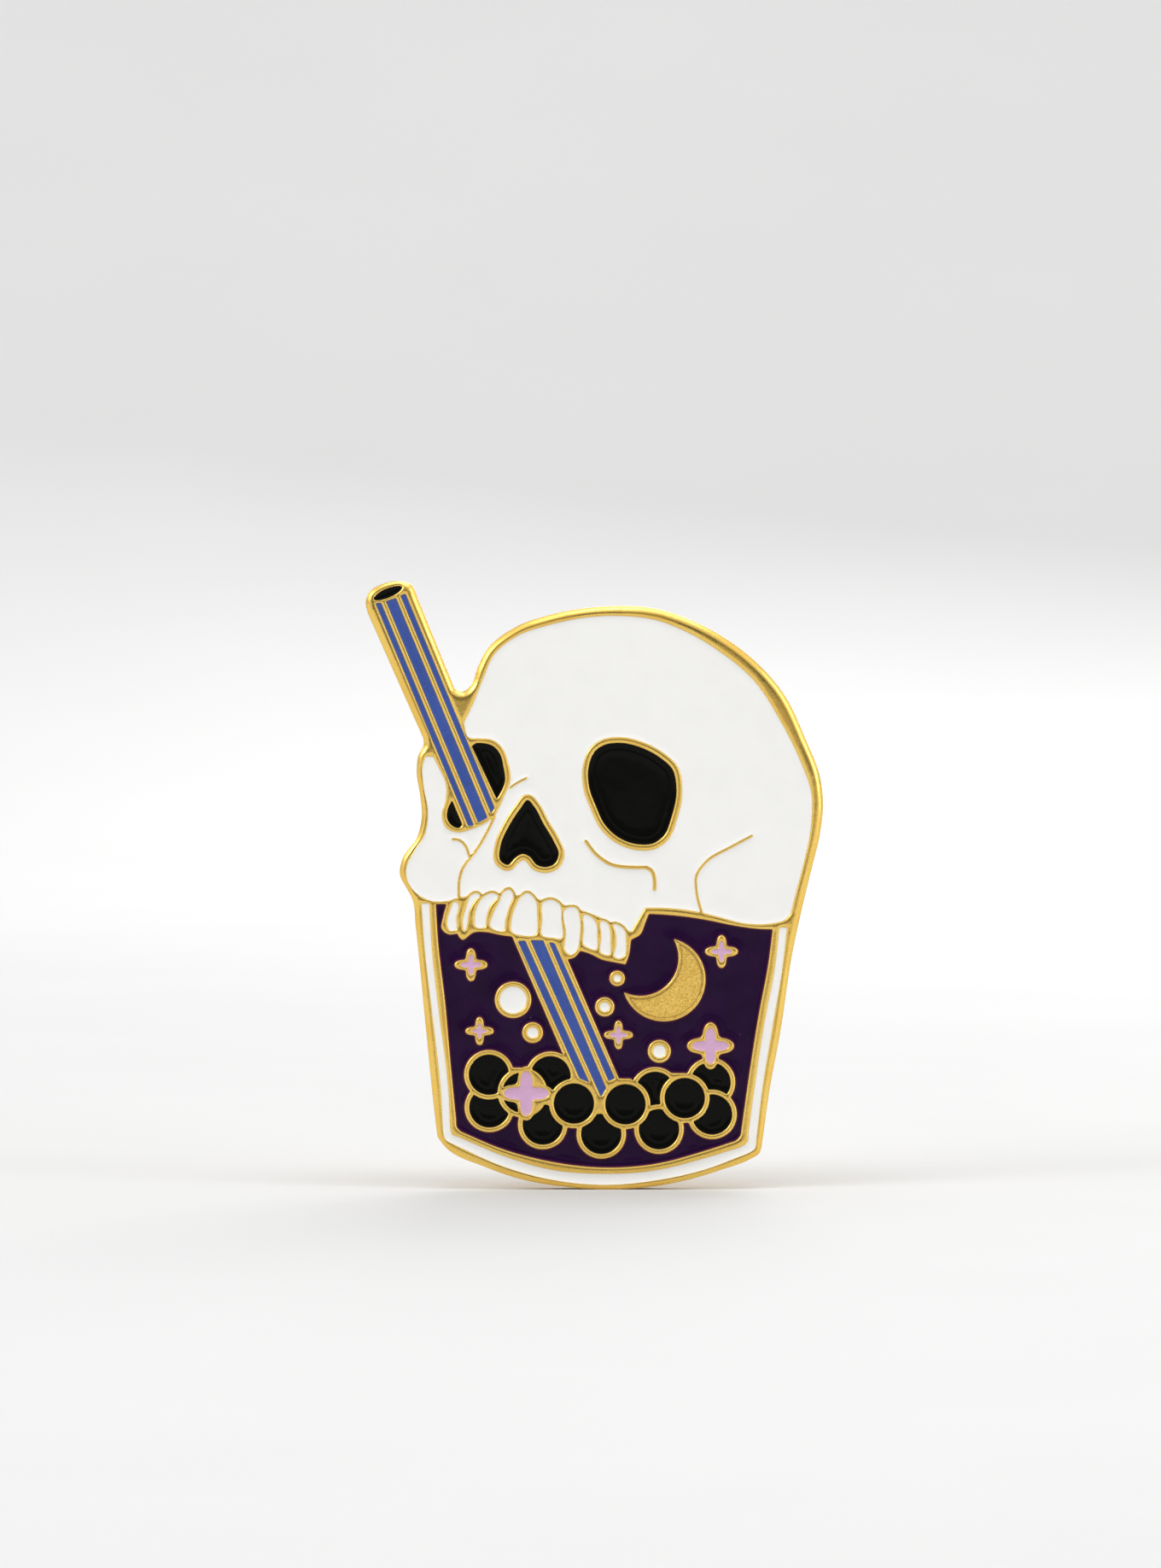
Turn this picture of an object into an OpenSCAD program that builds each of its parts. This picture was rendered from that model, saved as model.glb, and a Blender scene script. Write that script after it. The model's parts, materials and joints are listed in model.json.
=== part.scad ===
// Soft-enamel lapel pin: a skull resting in a cup of bubble tea, with two post-and-clutch fasteners.
// The pin is worn upright: +Z is the top of the artwork, the face looks towards -Y, and the back of
// the metal is the plane y = 0. The origin is on that plane, midway between the two posts.
// Left and right are as seen from the front, so right is +X.

/* [Pin body] */
// Height of the pin; the artwork is drawn at this size
pin_h = 39; // [32:1:50]
// Thickness of the metal body
base_t = 1.8; // [1.5:0.1:2.4]
// Depth of the enamel pockets
pocket_t = 0.6; // [0.4:0.05:0.8]
// How far the enamel stands below the metal lines
enamel_drop = 0.12; // [0.05:0.01:0.2]
// Depth of the sunken, sand-blasted face of the moon
moon_drop = 0.1; // [0.05:0.01:0.2]

/* [Artwork] */
// Width of the raised ring around the eye and nose pockets
ring_w = 0.36; // [0.25:0.01:0.45]
// Width of the raised line above each tooth
tooth_line_w = 0.15; // [0.1:0.01:0.2]
// Radius of each enamel pearl
pearl_r = 1.3; // [1.1:0.05:1.4]
// Width of the raised ring around each pearl
pearl_ring = 0.29; // [0.2:0.01:0.35]
// Width of the wide middle stripe of the straw, above the teeth
stripe_mid_w = 0.7; // [0.6:0.01:0.75]
// Width of the two side stripes of the straw, above the teeth
stripe_side_w = 0.37; // [0.3:0.01:0.42]
// Distance from the middle stripe to a side stripe, centre to centre
stripe_pitch = 0.83; // [0.8:0.01:0.86]

/* [Posts] */
// Distance between the two posts
post_gap = 18; // [15:0.5:20]
// Radius of a post
post_r = 0.55; // [0.5:0.01:0.6]
// Length of a post behind the back of the pin
post_len = 8; // [7.5:0.1:9]
// Radius of the flat head that is soldered into the back
head_r = 1.6; // [1.2:0.1:2]

/* [Clutches] */
// Gap between the back of the pin and a clutch, filled by the cloth
cloth_gap = 2.2; // [2.1:0.1:2.6]
// Radius of a clutch's round cap
cap_r = 5.75; // [5.5:0.05:6]
// Thickness of the sheet brass of the caps and housings
sheet_t = 0.4; // [0.3:0.05:0.45]
// Height of a clutch's housing above its cap
housing_h = 2.1; // [2:0.05:2.3]
// Width of each wing, across the squeeze
wing_w = 5; // [4:0.1:5.2]

/* [Hidden] */
$fn = 48;

GOLD = [0.93, 0.78, 0.37];
BRASS = [0.80, 0.66, 0.36];
WHITE = [0.95, 0.95, 0.93];
BLACK = [0.07, 0.07, 0.06];
BLUE = [0.24, 0.34, 0.67];
PLUM = [0.18, 0.09, 0.22];
LILAC = [0.80, 0.65, 0.84];

art = pin_h / 39;          // size of the artwork against the drawn size
floor_t = base_t - pocket_t;
step = 0.3;                // length of the straight pieces that make up a curve
fine = 0.15;               // the same on small shapes
cut = 1;                   // how far a cutting shape runs past the metal
run = 0.02;                // radial clearance of the clutch parts around a post

// ---- Curves ----

// Slope of a smooth curve at b, between its neighbours a and c
function slope(a, b, c) = let (u = norm(b - a), v = norm(c - b))
    ((b - a) * v / u + (c - b) * u / v) / (u + v);

// Point at the share k of the stretch from p to q, which leaves p along s and reaches q along t
function between(p, q, s, t, k) = let (len = norm(q - p))
    p * (2 * pow(k, 3) - 3 * pow(k, 2) + 1) + s * len * (pow(k, 3) - 2 * pow(k, 2) + k)
    + q * (3 * pow(k, 2) - 2 * pow(k, 3)) + t * len * (pow(k, 3) - pow(k, 2));

// Smooth curve through the points, up to the last point but without it, so that curves chain
function curve(pts, size = step) = let (n = len(pts)) [
    for (i = [0:n - 2])
        let (p = pts[i], q = pts[i + 1], len = norm(q - p))
        let (s = i == 0 ? (q - p) / len : slope(pts[i - 1], p, q))
        let (t = i == n - 2 ? (q - p) / len : slope(p, q, pts[i + 2]))
        let (count = n == 2 ? 1 : max(1, ceil(len / size)))
        for (j = [0:count - 1]) between(p, q, s, t, j / count)
];

// Smooth closed curve through the points
function loop(pts, size = step) = let (n = len(pts)) [
    for (i = [0:n - 1])
        let (a = pts[(i + n - 1) % n], p = pts[i], q = pts[(i + 1) % n], b = pts[(i + 2) % n])
        let (count = max(1, ceil(norm(q - p) / size)))
        for (j = [0:count - 1]) between(p, q, slope(a, p, q), slope(p, q, b), j / count)
];

function turned(v) = [v[1], -v[0]];
function unit(v) = v / norm(v);
function signed_area(p) = let (n = len(p)) sum([for (i = [0:n - 1]) cross(p[i], p[(i + 1) % n])]) / 2;
function sum(v, i = 0) = i == len(v) - 1 ? v[i] : v[i] + sum(v, i + 1);

// The closed outline moved outwards by d
function grown(p, d) = let (n = len(p), side = sign(signed_area(p))) [
    for (i = [0:n - 1])
        let (before = unit(p[i] - p[(i + n - 1) % n]), after = unit(p[(i + 1) % n] - p[i]))
        p[i] + side * d * unit(turned(after + before))
];

// Outline of a line of width w that follows the points of path
function stroke(path, w) = let (n = len(path))
    let (out = [for (i = [0:n - 1]) unit(turned(path[min(i + 1, n - 1)] - path[max(i - 1, 0)])) * w / 2])
    concat([for (i = [0:n - 1]) path[i] + out[i]], [for (i = [n - 1:-1:0]) path[i] - out[i]]);

// A curve drawn as a line of width w
function line(pts, w) = stroke(concat(curve(pts), [pts[len(pts) - 1]]), w);

function backwards(p) = [for (i = [len(p) - 1:-1:0]) p[i]];

// Four-pointed star: the arms reach arm, the hollows between them come in to waist
star_bend = 2.2;           // a larger number makes slimmer arms
function star(arm, waist) = [
    for (a = [0:7.5:352.5]) (waist + (arm - waist) * pow(abs(cos(2 * a)), star_bend)) * [cos(a), sin(a)]
];

// ---- Outline of the pin ----

straw_end = [[-14.54, 17.46], [-14.68, 18.15], [-14.45, 18.8], [-13.5, 19.35], [-12.4, 19.48],
    [-11.75, 19.25], [-11.4, 18.5]];
straw_right = [[-11.4, 18.5], [-9, 12.6]];
head = [[-9, 12.6], [-8.5, 12.4], [-8, 12.75], [-7.5, 14], [-7, 15], [-5, 16.6], [-3, 17.3], [1, 17.88],
    [4, 17.7], [6, 17.05], [8, 16.05], [10, 14.6], [12, 12.4], [13.5, 9.35], [14.4, 7], [14.6, 5.2],
    [14.4, 3.3], [13.85, 1], [13.2, -1.7], [12.7, -4], [11.85, -9.5], [11.2, -13], [10.7, -16.6]];
cup_bottom = [[10.7, -16.6], [10.55, -17.15], [10, -17.5], [8, -18.25], [6, -18.85], [4, -19.25],
    [1, -19.48], [-2, -19.3], [-5, -18.75], [-7, -18.05], [-9.6, -16.75], [-10.1, -16.1]];
cup_left = [[-10.1, -16.1], [-10.35, -14], [-10.85, -9], [-11.5, -2.5], [-11.7, -0.85], [-12.1, -0.1],
    [-12.5, 0.7], [-12.35, 1.7], [-11.4, 3.1], [-11.1, 4.4], [-11.2, 5.8], [-11.42, 7.3], [-11.3, 8.4],
    [-10.95, 9.1], [-11, 9.46]];
straw_left = [[-11, 9.46], [-14.54, 17.46]];

module pin_outline() scale(art) polygon(concat(
    curve(straw_end), curve(straw_right), curve(head), curve(cup_bottom), curve(cup_left), curve(straw_left)
));

// ---- Skull ----

eye_right = loop([[0.5, 9], [1.6, 9.17], [3, 8.85], [4.2, 8.2], [4.95, 7.5], [5.22, 6.2], [4.9, 4.4],
    [4.4, 3.2], [3.8, 2.75], [2.6, 2.68], [1.5, 3.1], [0.6, 3.95], [0.05, 5.1], [-0.38, 6.3], [-0.4, 7.7],
    [0, 8.65]]);
nose = loop([[-4.3, 5.52], [-3.9, 5.1], [-3.3, 4], [-2.6, 2.8], [-2.32, 2.1], [-2.55, 1.45], [-3.2, 1.2],
    [-3.75, 1.35], [-4.2, 1.88], [-4.65, 2.05], [-5.1, 1.8], [-5.6, 1.33], [-6.05, 1.6], [-6.05, 2.6],
    [-5.6, 3.7], [-4.8, 4.95]], fine);
eye_left_upper = concat(
    curve([[-7.9, 8.95], [-7.7, 9.12], [-7.2, 9.15], [-6.5, 8.95], [-6.1, 8.5], [-5.85, 7.6], [-5.76, 6.7],
        [-6, 6.05], [-6.3, 5.55]], fine),
    curve([[-6.3, 5.55], [-7.9, 8.95]], fine)
);
eye_left_lower = concat(
    curve([[-9.15, 5.5], [-8.5, 3.95]], fine),
    curve([[-8.5, 3.95], [-8.65, 3.72], [-9.15, 3.85], [-9.45, 4.25], [-9.42, 4.95], [-9.15, 5.5]], fine)
);

// Crack between the cranium and the cheek, from the left eye down to the teeth
crack = [[-6.4, 4.5], [-7, 3.3], [-7.6, 2.3], [-8, 1.8], [-8.5, 1.1], [-8.7, 0.3], [-8.72, -0.72]];
cheek_hook = [[-9.2, 3], [-8.7, 2.95], [-8.3, 2.6], [-8.05, 1.9]];
brow_tick = [[-5.5, 6.25], [-5, 6.6], [-4.3, 6.95]];
socket_line = [[-0.65, 2.95], [0.1, 2], [1, 1.4], [2.3, 1.2], [3.3, 1.2]];
jaw_line = [[3.2, 1.22], [3.62, 1], [3.8, 0.5], [3.8, -0.3]];
temple_line = [[10.1, 3.25], [8.7, 2.5], [7.1, 1.55], [6.5, 0.7], [6.5, -0.4], [6.85, -1.8]];
crack_w = 0.16;            // widths of the raised lines drawn on the skull
hook_w = 0.15;
brow_w = 0.13;
socket_w = 0.2;
jaw_line_w = 0.22;
temple_w = 0.15;

cranium = concat(
    curve([[-8.4, 10.45], [-7.8, 11.7], [-7.2, 13.2], [-6.4, 14.9], [-5, 16], [-3, 16.7], [1, 17.3],
        [4, 17], [6, 16.2], [8, 15], [10, 13.35], [12, 10.35], [13.15, 8], [13.85, 6], [13.85, 4], [13.25, 1],
        [12.9, -0.3], [12.55, -1.75]]),
    curve([[12.55, -1.75], [12.2, -2.15], [11.3, -2.4], [9.6, -2.4], [8, -2], [6.8, -1.7], [4.3, -1.4],
        [3.2, -1.4]]),
    curve([[3.2, -1.4], [2.8, -2.1], [2.3, -2.95]]),
    curve([[2.3, -2.95], [1, -2.3], [-0.6, -1.65], [-2, -1.2], [-3.6, -0.85], [-4.9, -0.6], [-6.1, -0.65],
        [-7.2, -0.6], [-8.72, -0.72]]),
    curve(backwards(crack)),
    curve([[-6.4, 4.5], [-5.8, 5.8], [-5.42, 6.8], [-5.6, 8], [-5.95, 8.85], [-6.5, 9.33], [-7.4, 9.45],
        [-8.1, 9.5], [-8.4, 10.45]])
);
cheek = concat(
    curve(crack),
    curve([[-8.72, -0.72], [-9.4, -0.95], [-10.5, -0.95], [-11.4, -0.5], [-12, 0.3], [-12.1, 1.1],
        [-11.6, 2.2], [-10.9, 3.3], [-10.7, 4.6], [-11, 6.6], [-11.05, 7.7], [-10.85, 8.3]]),
    curve([[-10.85, 8.3], [-10.35, 8.3]]),
    curve([[-10.35, 8.3], [-10, 7.6], [-9.55, 6.6], [-9.55, 5.5], [-9.8, 4.6], [-9.5, 3.7], [-8.9, 3.45],
        [-7.9, 3.65], [-7, 4.05], [-6.4, 4.5]])
);

teeth = [
    [[-8.95, -0.98], [-9.3, -1.6], [-9.46, -2.5], [-9.3, -2.88], [-8.95, -2.85], [-8.88, -2],
        [-8.78, -1.1]],
    [[-7.6, -0.44], [-7.95, -0.6], [-8.25, -1.35], [-8.48, -2.3], [-8.36, -2.95], [-8.2, -2.5],
        [-8.05, -1.6], [-7.7, -0.95], [-7.35, -0.6]],
    [[-6.5, -0.45], [-7.1, -0.66], [-7.54, -1.27], [-7.72, -2.1], [-7.66, -2.62], [-7.05, -2.64],
        [-6.95, -2], [-6.7, -1.25], [-6.2, -0.62]],
    [[-5.5, -0.2], [-5.87, -0.42], [-6.14, -1], [-6.5, -1.7], [-6.7, -2.62], [-5.85, -2.88], [-5.74, -2.2],
        [-5.5, -1.35], [-5.25, -0.5]],
    [[-4.35, -0.43], [-4.75, -0.7], [-5.1, -1.3], [-5.36, -2.2], [-5.35, -2.92], [-4.6, -3.18],
        [-3.85, -3.15], [-3.7, -1.9], [-3.85, -0.85]],
    [[-2.8, -0.87], [-3.3, -1], [-3.38, -2.1], [-3.35, -3.2], [-2.7, -3.32], [-2.18, -3.38], [-2.15, -2.2],
        [-2.28, -1.15]],
    [[-1.55, -1.35], [-1.85, -1.42], [-1.87, -3], [-1.83, -4.25], [-1.55, -4.43], [-1.2, -4.15],
        [-0.97, -3.2], [-1, -1.9], [-1.18, -1.42]],
    [[-0.68, -1.8], [-0.72, -2.8], [-0.7, -3.8], [-0.35, -4], [0.05, -4.1], [0.14, -3.2], [0.08, -2.4],
        [-0.2, -2]],
    [[0.42, -2.22], [0.4, -3.2], [0.42, -4.32], [0.92, -4.42], [0.99, -3.6], [0.95, -2.8], [0.78, -2.35]],
    [[1.18, -2.42], [1.33, -3], [1.34, -3.8], [1.25, -4.55], [1.55, -4.66], [1.85, -4.5], [1.98, -3.5],
        [1.88, -2.8], [1.5, -2.5]]
];

// ---- Straw ----

straw_mouth = [-13.25, 18.75];
straw_tilt = 23.3;
mouth_w = 2;               // size of the straw's open end
mouth_h = 0.6;
straw_left_low = 1.4;      // from the straw's axis to its left edge, inside the drink
straw_right_low = 1.27;    // and to its right edge
straw_top_low = 21;        // where that stretch starts and ends, measured down from the mouth
straw_end_low = 35;

// Places children in the straw's own frame: x across the straw, -y down along it
module along_straw() translate(straw_mouth) rotate(straw_tilt) children();

// Ends of each stripe, measured down the straw from its mouth: [left corner, right corner]
stripe_tops = [[0.27, 0.4], [0.43, 0.48], [0.45, 0.48]];
stripe_ends = [[15.75, 15.84], [15.8, 15.74], [15.58, 15.33]];
low_tops = [[23.75, 23.9], [24, 24.35], [24.6, 24.8]];
low_ends = [[33.4, 33.9], [35, 35], [34.3, 34.3]];

// The stretch of the straw that crosses the drink
module straw_in_drink() along_straw() translate([-straw_left_low, -straw_end_low])
    square([straw_left_low + straw_right_low, straw_end_low - straw_top_low]);

// The stripes run slightly out of line with the straw. A side of a stripe is [place across the straw,
// level with the mouth, and drift to the right per mm down]
upper_drift = [0.015, -0.0123];
low_left = [[-1.58, 0.016], [-0.82, 0.016], [0.625, -0.001]];
low_right = [[-1.15, 0.0175], [0.43, -0.004], [0.62, 0.0125]];

function across(side, down) = side[0] + side[1] * down;

// One stripe between its two sides; top and end are its slanted ends
module stripe(left, right, top, end) along_straw() polygon([
    [across(left, top[0]), -top[0]], [across(right, top[1]), -top[1]],
    [across(right, end[1]), -end[1]], [across(left, end[0]), -end[0]]
]);

// ---- Cup ----

drink_edge = concat(
    curve([[-10.2, -1.15], [-9.5, -1.15]]),
    curve([[-9.5, -1.15], [-9.75, -2.1], [-9.83, -2.75], [-9.4, -3.1], [-8.8, -3.05]]),
    curve([[-8.8, -3.05], [-8.65, -3.35], [-8.45, -3.48]]),
    curve([[-8.45, -3.48], [-7.75, -2.97], [-7, -2.95], [-6, -3.15], [-4.6, -3.3]]),
    curve([[-4.6, -3.3], [-1.75, -4.7]]),
    curve([[-1.75, -4.7], [-1.35, -4.6], [-0.95, -4.15]]),
    curve([[-0.95, -4.15], [-0.3, -4.35], [0.4, -4.7], [1.3, -4.9], [1.95, -5.03]]),
    curve([[1.95, -5.03], [2.15, -4.5], [2.3, -3.45]]),
    curve([[2.3, -3.45], [2.9, -3.1], [3.2, -2.4], [3.45, -1.78]]),
    curve([[3.45, -1.78], [5, -1.88], [7, -2.15], [9, -2.55], [10.5, -2.75], [11.38, -2.78]]),
    curve([[11.38, -2.78], [11.1, -5], [10.5, -8.2], [10, -11.3], [9.4, -15.5]]),
    curve([[9.4, -15.5], [9.28, -16.1], [9, -16.35]], fine),
    curve([[9, -16.35], [7, -17], [4, -17.8], [0.5, -18.06], [-3, -17.65], [-6, -16.85], [-8.6, -15.75]]),
    curve([[-8.6, -15.75], [-8.87, -15.45], [-8.9, -15]], fine),
    curve([[-8.9, -15], [-9.2, -12], [-9.6, -7.5], [-10.05, -3.6], [-10.2, -1.15]])
);
wall_edge = concat(
    curve([[-11.12, -1.1], [-10.6, -1.1]]),
    curve([[-10.6, -1.1], [-10.45, -4], [-10, -8], [-9.4, -13], [-9.28, -15.5]]),
    curve([[-9.28, -15.5], [-9.2, -15.85], [-8.6, -16.15]], fine),
    curve([[-8.6, -16.15], [-6, -17.25], [-3, -18.15], [0.5, -18.45], [4, -18.2], [7, -17.45],
        [9.3, -16.75]]),
    curve([[9.3, -16.75], [9.7, -16.5], [9.85, -15.6]], fine),
    curve([[9.85, -15.6], [10.2, -13], [10.8, -9], [11.54, -5], [11.8, -2.65]]),
    curve([[11.8, -2.65], [12.3, -2.65]]),
    curve([[12.3, -2.65], [12.04, -5], [11.38, -9], [10.73, -13], [10.35, -16.2]]),
    curve([[10.35, -16.2], [10.25, -16.85], [9.8, -17.15]], fine),
    curve([[9.8, -17.15], [7, -18.2], [4, -18.87], [0.8, -19.17], [-3, -18.8], [-6, -17.95], [-9, -16.6]]),
    curve([[-9, -16.6], [-9.6, -16.25], [-9.75, -15.7]], fine),
    curve([[-9.75, -15.7], [-9.9, -13], [-10.46, -8], [-10.92, -4], [-11.12, -1.1]])
);

// Pearls, front to back: each one's ring runs over the pearls after it
pearls = [[-1.35, -13.95], [1.95, -14], [5.75, -13.6], [-4.65, -13.25], [-6.8, -12.1], [-6.77, -14.2],
    [7.5, -14.65], [4.1, -15.6], [3.85, -13.2], [7.4, -12.6], [-2.85, -12.2], [-3.35, -15.3], [0.4, -15.9]];
starred_pearl = 3;         // the pearl behind the large left star, solid metal right of it
straw_pearl = 10;          // the pearl behind the straw

// Stars: x, z, then the reach of the arms and the width of the waist, of the metal and of the enamel
stars = [[-7.95, -5.05, 1.07, 0.5, 0.68, 0.24], [-7.4, -9.3, 0.92, 0.42, 0.5, 0.19],
    [1.5, -9.55, 0.94, 0.42, 0.58, 0.21], [8.1, -4.2, 1.07, 0.5, 0.68, 0.24],
    [7.4, -10.25, 1.52, 0.82, 1.18, 0.47], [-4.4, -13.3, 1.75, 0.9, 1.45, 0.6]];

// Bubbles: x, z, radius of the metal ring, radius of the enamel
bubbles = [[-5.25, -7.3, 1.17, 0.88], [-4, -9.4, 0.67, 0.36], [1.42, -5.92, 0.5, 0.24],
    [0.62, -7.75, 0.62, 0.32], [4.12, -10.6, 0.74, 0.42]];

// Middle and size of the solid metal in the gaps between the pearls
webs = [[-5.2, -11.9], [-3.1, -13.3], [-1.85, -11.9], [0.3, -13.45], [0.3, -13.9], [0.3, -14.3],
    [1.9, -12.6], [3.95, -14.5], [5.3, -12.25]];
web_size = [0.9, 0.5];

moon_at = [4.4, -6];
moon_r = 2.68;
moon_bite_at = [2.9, -4.6];
moon_bite_r = 2.45;
moon_rim = 0.17;

// ---- Flat shapes of the enamel pockets ----

module metal_star(s) translate([s[0], s[1]]) polygon(star(s[2], s[3]));
module star_pocket(s) translate([s[0], s[1]]) polygon(star(s[4], s[5]));
module pearl_ring(i) translate(pearls[i]) circle(r = pearl_r + pearl_ring);
module moon(inset) difference() {
    translate(moon_at) circle(r = moon_r - inset);
    translate(moon_bite_at) circle(r = moon_bite_r + inset);
}

module cranium_pocket() difference() {
    polygon(cranium);
    polygon(grown(eye_right, ring_w));
    polygon(grown(nose, ring_w));
    for (i = [1:9]) polygon(grown(loop(teeth[i], fine), tooth_line_w));
    polygon(line(crack, crack_w));
    polygon(line(brow_tick, brow_w));
    polygon(line(socket_line, socket_w));
    polygon(line(jaw_line, jaw_line_w));
    polygon(line(temple_line, temple_w));
}

module cheek_pocket() difference() {
    polygon(cheek);
    polygon(line(crack, crack_w));
    polygon(line(cheek_hook, hook_w));
    polygon(grown(loop(teeth[0], fine), tooth_line_w));
}

module pearl_pocket(i) difference() {
    translate(pearls[i]) circle(r = pearl_r);
    for (j = [0:i - 1]) if (i > 0) pearl_ring(j);
    for (s = stars) metal_star(s);
    if (i == straw_pearl) straw_in_drink();
    if (i == starred_pearl) translate([stars[5][0], pearls[i][1] - 2 * pearl_r]) square(4 * pearl_r);
}

module drink_pocket() difference() {
    polygon(drink_edge);
    for (i = [0:12]) pearl_ring(i);
    for (s = stars) metal_star(s);
    for (b = bubbles) translate([b[0], b[1]]) circle(r = b[2]);
    moon(0);
    straw_in_drink();
    drink_webs();
}

// Solid metal in the small gaps between the pearls and beside the straw's end
module drink_webs() for (p = webs) translate(p) square(web_size, center = true);

module stripe_pocket(i) {
    side = i % 3 - 1;
    half_w = (side == 0 ? stripe_mid_w : stripe_side_w) / 2;
    middle = [side * stripe_pitch, 0] + upper_drift;
    if (i < 3) stripe(middle - [half_w, 0], middle + [half_w, 0], stripe_tops[i], stripe_ends[i]);
    if (i >= 3) difference() {
        stripe(low_left[i - 3], low_right[i - 3], low_tops[i - 3], low_ends[i - 3]);
        pearl_ring(0);
        pearl_ring(1);
    }
}

// Every pocket as one flat shape
module all_pockets() {
    cranium_pocket();
    cheek_pocket();
    polygon(eye_right);
    polygon(eye_left_upper);
    polygon(eye_left_lower);
    polygon(nose);
    mouth_pocket();
    polygon(wall_edge);
    drink_pocket();
    for (i = [0:5]) stripe_pocket(i);
    for (t = teeth) polygon(loop(t, fine));
    for (i = [0:12]) pearl_pocket(i);
    for (s = stars) star_pocket(s);
    for (b = bubbles) translate([b[0], b[1]]) circle(r = b[3]);
}

module mouth_pocket() along_straw() scale([mouth_w, mouth_h] / 2)
    polygon([for (a = [0:15:345]) [cos(a), sin(a)]]);

// ---- Metal and enamel ----

// A flat shape made solid between two distances in front of the back plane
module slab(from, to) translate([0, -from, 0]) rotate([90, 0, 0]) linear_extrude(to - from) children();

// Enamel that fills one pocket
module enamel(tint) color(tint) slab(floor_t, base_t - enamel_drop) scale(art) children();

module metal_base() color(GOLD) difference() {
    union() {
        slab(0, floor_t) pin_outline();
        slab(floor_t, base_t) difference() {
            pin_outline();
            scale(art) all_pockets();
        }
    }
    slab(base_t - moon_drop, base_t + cut) scale(art) moon(moon_rim);
    for (end = [1, -1]) on_post(end) translate([0, 0, -head_t]) cylinder(r = head_r, h = head_t + cut);
}

// ---- Posts and clutches, each in a frame with z along the post, away from the back ----

head_t = 0.35;             // thickness of a post's head, let into the back
weld_r = 0.9;              // radius of the solder around the foot of a post
weld_h = 0.3;
groove_at = 4.75;          // the groove that catches the jaws before a clutch slides off
groove_w = 0.6;
groove_depth = 0.17;
tip_len = 0.9;
tip_r = 0.1;

module on_post(end) translate([0, 0, end * post_gap / 2]) rotate([-90, 0, 0]) children();

module post(end) color(BRASS) on_post(end) rotate_extrude() polygon([
    [0, -head_t], [head_r, -head_t], [head_r, 0], [weld_r, 0], [post_r, weld_h],
    [post_r, groove_at], [post_r - groove_depth, groove_at + groove_depth],
    [post_r - groove_depth, groove_at + groove_w - groove_depth], [post_r, groove_at + groove_w],
    [post_r, post_len - tip_len], [tip_r, post_len], [0, post_len]
]);

rim_t = 0.45;              // thickness of the cap's rolled rim
rim_h = 1;
bead_r = 3.4;              // radius of the raised ring on the cap, then half its width and its height
bead_w = 0.5;
bead_h = 0.18;
edge = 0.2;                // bevel of the cap's outer edge and of its hole
lip = 0.35;                // width of the bevelled lip round the hole
hole_r = post_r + 0.05;    // hole of the cap, a running fit on the post
drum_r = cap_r - rim_t;    // outer radius of the housing, held by the cap's rim
slot_in = 2.35;            // the slot in the housing that a wing passes through
slot_out = 3.75;
slot_play = 0.3;           // how much longer a slot is than its wing is wide
shoulder = 0.5;            // bevel where the housing's drum turns into its crown
inner_in = 0.25;           // the same on the inside, across and down
inner_down = 0.35;
crown_hole_r = 1.2;        // hole in the crown for the post

module clutch_cap(end) color(BRASS) on_post(end) translate([0, 0, cloth_gap]) rotate_extrude() polygon([
    [hole_r + lip, 0], [bead_r - bead_w, 0], [bead_r, bead_h], [bead_r + bead_w, 0], [cap_r - edge, 0],
    [cap_r, edge], [cap_r, rim_h], [drum_r, rim_h], [drum_r, sheet_t], [hole_r, sheet_t], [hole_r, edge]
]);

module clutch_housing(end) color(BRASS) on_post(end) translate([0, 0, cloth_gap]) difference() {
    rotate_extrude() polygon([
        [drum_r, sheet_t], [drum_r, sheet_t + housing_h - shoulder], [drum_r - shoulder, sheet_t + housing_h],
        [crown_hole_r, sheet_t + housing_h], [crown_hole_r, housing_h],
        [drum_r - sheet_t - inner_in, housing_h], [drum_r - sheet_t, housing_h - inner_down],
        [drum_r - sheet_t, sheet_t]
    ]);
    for (side = [1, -1]) translate([side * (slot_in + slot_out) / 2, 0, housing_h])
        cube([slot_out - slot_in, wing_w + slot_play, 4 * sheet_t], center = true);
}

// Side view of the right wing: the jaw at the post, the bend through the slot, the wing and its lip
wing_path = [[0.12, 1.4], [1.7, 1.4], [2.35, 1.65], [2.8, 2.15], [3.15, 2.75], [3.9, 3.6], [5.2, 4.65],
    [5.85, 5.05], [6.2, 4.95]];
wing_t = 0.36;
jaw_w = 3;                 // width of a jaw, how far it reaches from the post, and how high it ends
jaw_len = 2;
jaw_top = 1.9;

// One wing with its jaw; side is 1 on the right and -1 on the left
module wing(end, side) color(GOLD) on_post(end) translate([0, 0, cloth_gap])
    rotate([0, 0, side > 0 ? 0 : 180]) difference() {
        rotate([90, 0, 0]) linear_extrude(wing_w, center = true) polygon(line(wing_path, wing_t));
        cylinder(r = post_r + run, h = jaw_top + cut);
        for (y = [jaw_w / 2, -wing_w / 2 - cut]) translate([-cut, y, 0])
            cube([jaw_len + cut, (wing_w - jaw_w) / 2 + cut, jaw_top]);
    }

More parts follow.
